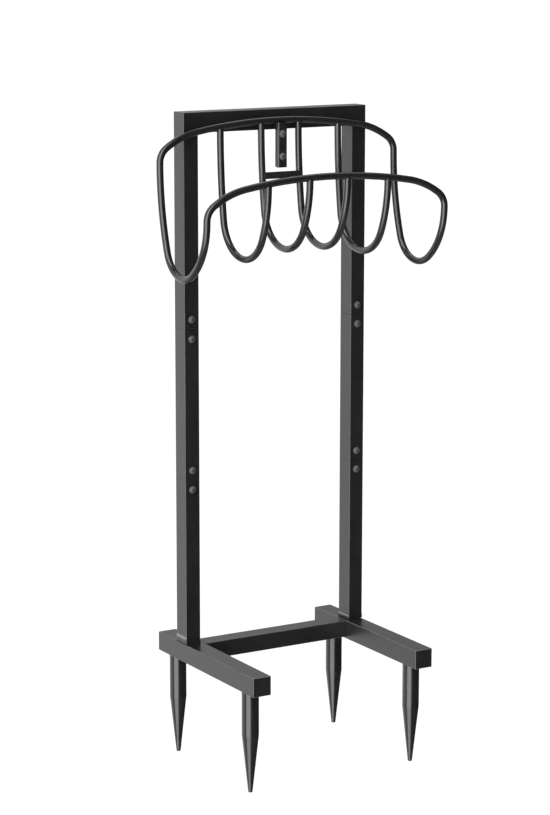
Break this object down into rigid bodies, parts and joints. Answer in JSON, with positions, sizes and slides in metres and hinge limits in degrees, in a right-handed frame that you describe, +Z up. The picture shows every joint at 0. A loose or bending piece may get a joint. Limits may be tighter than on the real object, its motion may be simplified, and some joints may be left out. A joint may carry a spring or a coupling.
{
  "type": "garden hose stand",
  "caption": "Free-standing rectangular-tube frame on spiked foot bars, with a bolted-on saddle basket of bent round rod that holds a coiled garden hose.",
  "frame": {"origin": "on the plane of the four spike tips, midway between the foot bars and midway along them", "axes": "+Z up, +X to the right-hand post, the basket and the long ends of the foot bars face -Y"},
  "size_m": [0.478, 0.337, 1.143],
  "materials": {
    "frame_coat": "satin black powder coat on steel tube",
    "rod_coat": "satin black powder coat on bent round bar",
    "spike_coat": "satin black powder coat on turned steel",
    "cap_plastic": "matt black moulded plastic",
    "screw_grey": "matt grey zinc-flake coat on steel",
    "sleeve_steel": "plain rolled steel, hidden inside the posts",
    "nut_zinc": "zinc-plated steel, hidden inside the tubes"
  },
  "bodies": {
    "root": {"base_crossbar": "frame_coat", "basket_bolts": "screw_grey", "basket_end_loop_left": "rod_coat", "basket_end_loop_right": "rod_coat", "basket_front_rail": "rod_coat", "basket_inner_loop_left": "rod_coat", "basket_inner_loop_right": "rod_coat", "basket_outer_loop_left": "rod_coat", "basket_outer_loop_right": "rod_coat", "basket_plate": "rod_coat", "basket_rear_rail": "rod_coat", "basket_strip": "rod_coat", "foot_bar_left": "frame_coat", "foot_bar_right": "frame_coat", "foot_cap_front_left": "cap_plastic", "foot_cap_front_right": "cap_plastic", "foot_cap_rear_left": "cap_plastic", "foot_cap_rear_right": "cap_plastic", "hanger_bar": "frame_coat", "lower_post_left": "frame_coat", "lower_post_right": "frame_coat", "lower_splice_sleeve_left": "sleeve_steel", "lower_splice_sleeve_right": "sleeve_steel", "middle_post_left": "frame_coat", "middle_post_right": "frame_coat", "spike_front_left": "spike_coat", "spike_front_right": "spike_coat", "spike_nuts": "nut_zinc", "spike_rear_left": "spike_coat", "spike_rear_right": "spike_coat", "splice_nuts": "nut_zinc", "splice_screws": "screw_grey", "top_bar": "frame_coat", "upper_post_left": "frame_coat", "upper_post_right": "frame_coat", "upper_splice_sleeve_left": "sleeve_steel", "upper_splice_sleeve_right": "sleeve_steel"}
  },
  "joints": []
}
